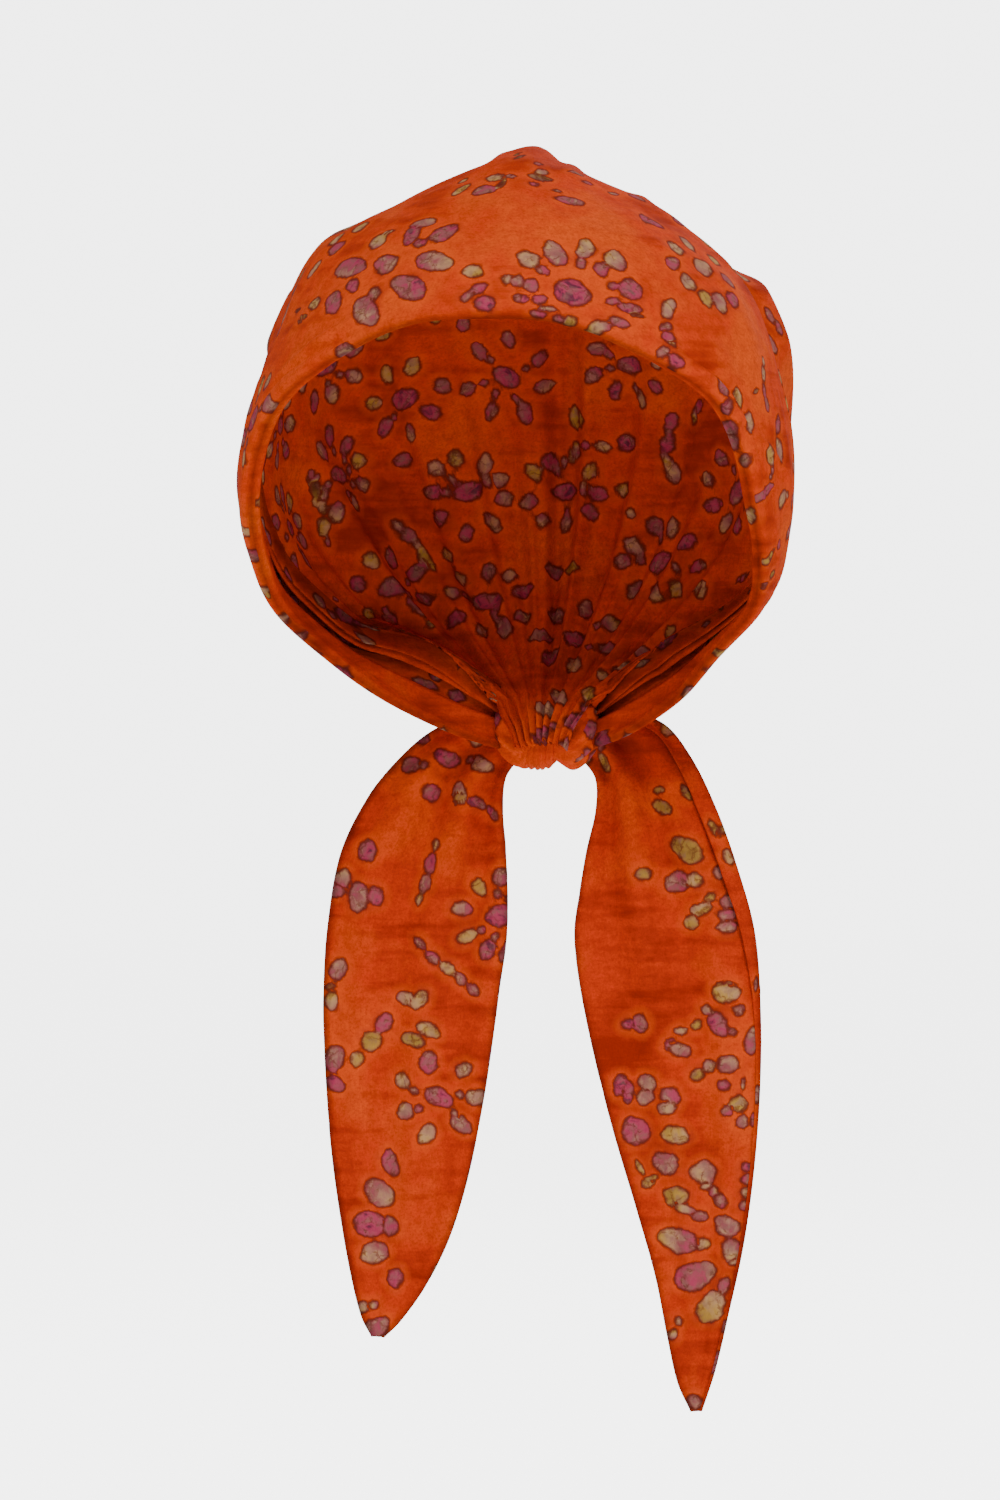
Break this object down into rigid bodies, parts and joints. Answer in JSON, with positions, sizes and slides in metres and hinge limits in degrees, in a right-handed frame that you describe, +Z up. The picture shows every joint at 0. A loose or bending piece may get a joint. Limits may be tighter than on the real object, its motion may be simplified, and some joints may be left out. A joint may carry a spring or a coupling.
{
  "type": "chemo head scarf",
  "caption": "Tie-back head scarf in dotted batik cotton: a wide brow band turned under, a full back cap, a nape knot and two pointed ties.",
  "frame": {"origin": "on top of the wearer's head, inside the cloth, where the head carries the scarf", "axes": "+Z up from the tie tips to the crown, -Y the way the wearer looks, +X to the right in the front view"},
  "size_m": [0.1791, 0.1899, 0.4142],
  "materials": {
    "printed_cotton": "matte printed cotton",
    "shaded_cotton": "matte printed cotton"
  },
  "bodies": {
    "root": {"front_panel": "printed_cotton", "crown_back": "shaded_cotton", "knot": "printed_cotton", "tail_right": "printed_cotton", "tail_left": "printed_cotton"}
  },
  "joints": []
}
